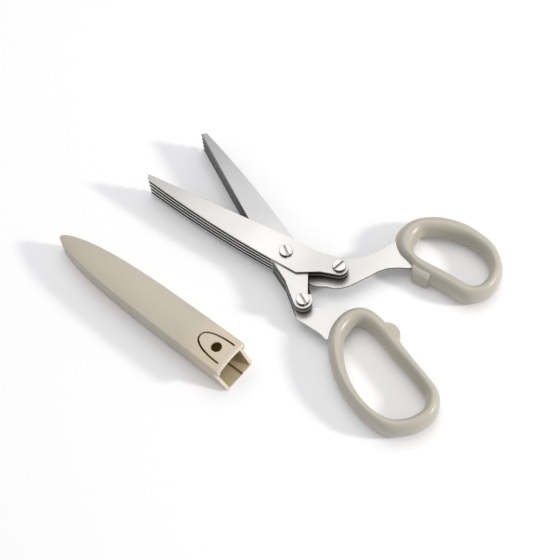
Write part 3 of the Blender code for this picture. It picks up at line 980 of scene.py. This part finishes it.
def drop_slivers(piece):
    """Splits the faces that the cuts left into triangles, and drops those without any area."""
    builder = bmesh.new()
    builder.from_mesh(piece.data)
    bmesh.ops.triangulate(builder, faces=builder.faces[:])
    bmesh.ops.dissolve_degenerate(builder, dist=join_distance / 2, edges=builder.edges[:])
    builder.to_mesh(piece.data)
    builder.free()


def channel_cutter():
    """A shallow channel along the middle of the floor, open at the mouth."""
    half = channel_width / 2
    front = -mouth_slant - overrun
    outline = [(-half, front), (half, front), (half, channel_length), (-half, channel_length)]
    return prism("channel", outline, channel_floor, channel_top)


def all_of(tree, first, *others):
    """The product of several shares."""
    for share in others:
        first = maths(tree, "MULTIPLY", first, share)
    return first


def sheath_finish():
    """Beige plastic, cream round the mouth, with a painted highlight on its rim and painted shadow
    in the hollow, darker deeper in, in the channel and in the tongue's slot.
    """
    material, tree, shader, place, colour = plastic_finish("sheath_plastic", sheath_tint,
                                                           sheath_shade, sheath_roughness)
    own = tree.nodes.new("ShaderNodeMapping")
    own.vector_type = "TEXTURE"
    own.inputs["Location"].default_value = (*sheath_place, 0)
    own.inputs["Rotation"].default_value = (0, 0, sheath_turn)
    tree.links.new(place, own.inputs["Vector"])
    across, along, up = parts_of(tree, own.outputs["Vector"])
    sideways = maths(tree, "ABSOLUTE", across)
    colour = blended(tree, falling(tree, along, cream_full, cream_end), colour, cream_tint)
    # Painted shadow in the hollow, darker deeper in, and in the channel.
    deep = blended(tree, rising(tree, along, deep_start, deep_full), hollow_tint, deep_tint)
    in_channel = all_of(
        tree, rising(tree, across, channel_shade_start, channel_shade_full),
        falling(tree, up, channel_shade_top, channel_shade_top + mask_blend),
        falling(tree, across, channel_width / 2, channel_width / 2 + mask_blend))
    deep = blended(tree, in_channel, deep, channel_tint)
    inside = all_of(
        tree, falling(tree, sideways, hollow_side, hollow_side + hollow_side_blend),
        falling(tree, up, hollow_top, hollow_top + 2 * mask_blend),
        falling(tree, along, hollow_end, hollow_end + hollow_end_blend))
    colour = blended(tree, inside, colour, deep)
    # Painted shadow on the walls of the tongue's slot.
    in_slot = all_of(
        tree, level_share(tree, *wall_slopes),
        rising(tree, up, slot_shade_bottom, slot_shade_bottom + 2 * mask_blend),
        rising(tree, along, slot_shade_front, slot_shade_front + 2 * mask_blend),
        falling(tree, sideways, slot_shade_side, slot_shade_side + mask_blend))
    colour = blended(tree, in_slot, colour, slot_tint)
    # A painted highlight on the faces that look out of the mouth.
    to_mouth = own_normal(tree, -sheath_turn, "Y")
    at_rim = rising(tree, to_mouth, rim_slope_start, rim_slope_full)
    tree.links.new(blended(tree, at_rim, colour, rim_tint), shader.inputs["Base Color"])
    return material


sheath = sheath_loft("sheath_moulded", 0, 0, mouth_slant, nose_end_share)
hollow = sheath_loft("hollow", sheath_wall, sheath_side_wall, mouth_slant + overrun, hollow_share)
cut(sheath, hollow)
cut(sheath, channel_cutter())
cut(sheath, mouth_cutter())
round_lip(sheath)
cut(sheath, tongue_slot_cutter())
cut(sheath, hole_cutter())
drop_slivers(sheath)
turned = Matrix.Rotation(sheath_turn, 4, "Z")
sheath.matrix_world = Matrix.Translation((*sheath_place, 0)) @ turned
at_origin(sheath)
shade(sheath, sheath_smooth_angle)
hand_over(sheath, sheath_finish(), "sheath", "sheath")


# Floor, light and camera
# A plain white floor and a white surround. A small lamp on the right throws the shadows, and a large
# one overhead softens them. The camera stands where the photograph was taken from.

camera_azimuth = math.radians(39.4)
camera_elevation = math.radians(61.2)
camera_roll = math.radians(-5.0)
focal_pixels = 1297.0
image_pixels = 560
sensor_width = 36.0
pivot_pixel = (285.9, 251.3)
camera_distance = 0.6213
stack_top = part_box("thumb_blade_1")[1].z
floor_size = 4.0
floor_drop = 0.1 * mm
floor_tint = (0.90, 0.90, 0.91, 1.0)
floor_roughness = 0.8
floor_glow = 0.09
white = (1.0, 1.0, 1.0, 1.0)
surround_tint = (0.96, 0.97, 1.0, 1.0)
surround_light = 0.445
surround_seen = 1.0
lamps = (
    {"name": "key_lamp", "side": 1.28, "depth": -0.33, "height": 0.70, "size": 0.18, "power": 12.4,
     "tint": (1.0, 0.98, 0.95)},
    {"name": "top_lamp", "side": -0.05, "depth": 0.34, "height": 1.30, "size": 1.2, "power": 8.1,
     "tint": (1.0, 0.995, 0.985)})

across, along = math.cos(camera_azimuth), math.sin(camera_azimuth)
level_right = Vector((across, -along, 0))
ahead = Vector((along * math.cos(camera_elevation), across * math.cos(camera_elevation),
                -math.sin(camera_elevation)))
level_up = level_right.cross(ahead)
right = math.cos(camera_roll) * level_right + math.sin(camera_roll) * level_up
up = math.cos(camera_roll) * level_up - math.sin(camera_roll) * level_right
ray = (ahead * focal_pixels + right * (pivot_pixel[0] - image_pixels / 2)
       - up * (pivot_pixel[1] - image_pixels / 2)).normalized()
camera = bpy.data.objects.new("camera", bpy.data.cameras.new("camera"))
bpy.context.scene.collection.objects.link(camera)
camera.data.sensor_width = sensor_width
camera.data.lens = focal_pixels * sensor_width / image_pixels
stand = Vector((0, 0, stack_top)) - ray * camera_distance
turned = Matrix((right, up, -ahead)).transposed().to_4x4()
camera.matrix_world = Matrix.Translation(stand) @ turned
bpy.context.scene.camera = camera


def in_view(tree):
    """1 for rays from the camera or from a reflection, and 0 for the rest."""
    rays = tree.nodes.new("ShaderNodeLightPath").outputs
    return maths(tree, "MAXIMUM", rays["Is Camera Ray"], rays["Is Glossy Ray"])


bpy.ops.mesh.primitive_plane_add(size=floor_size, location=(0, 0, -floor_drop))
floor = bpy.context.object
floor.name = "floor"
paper = bpy.data.materials.new("floor")
paper.use_nodes = True
tree = paper.node_tree
shader = tree.nodes["Principled BSDF"]
shader.inputs["Base Color"].default_value = floor_tint
shader.inputs["Roughness"].default_value = floor_roughness
shader.inputs["Emission Color"].default_value = white
glow = maths(tree, "MULTIPLY", in_view(tree), floor_glow)
tree.links.new(glow, shader.inputs["Emission Strength"])
floor.data.materials.append(paper)

for values in lamps:
    name = values["name"]
    lamp = bpy.data.objects.new(name, bpy.data.lights.new(name, "AREA"))
    bpy.context.scene.collection.objects.link(lamp)
    lamp.data.size = values["size"]
    lamp.data.energy = values["power"]
    lamp.data.color = values["tint"]
    away = Vector((along, across, 0)) * values["depth"]
    lamp.location = level_right * values["side"] + away + Vector((0, 0, values["height"]))
    lamp.rotation_euler = (-lamp.location).to_track_quat("-Z", "Y").to_euler()

world = bpy.data.worlds.new("surround")
bpy.context.scene.world = world
world.use_nodes = True
tree = world.node_tree
backdrop = tree.nodes["Background"]
backdrop.inputs["Color"].default_value = surround_tint
strength = spread(tree, in_view(tree), 0.0, 1.0, surround_light, surround_seen)
tree.links.new(strength, backdrop.inputs["Strength"])
bpy.context.scene.view_settings.view_transform = "Standard"
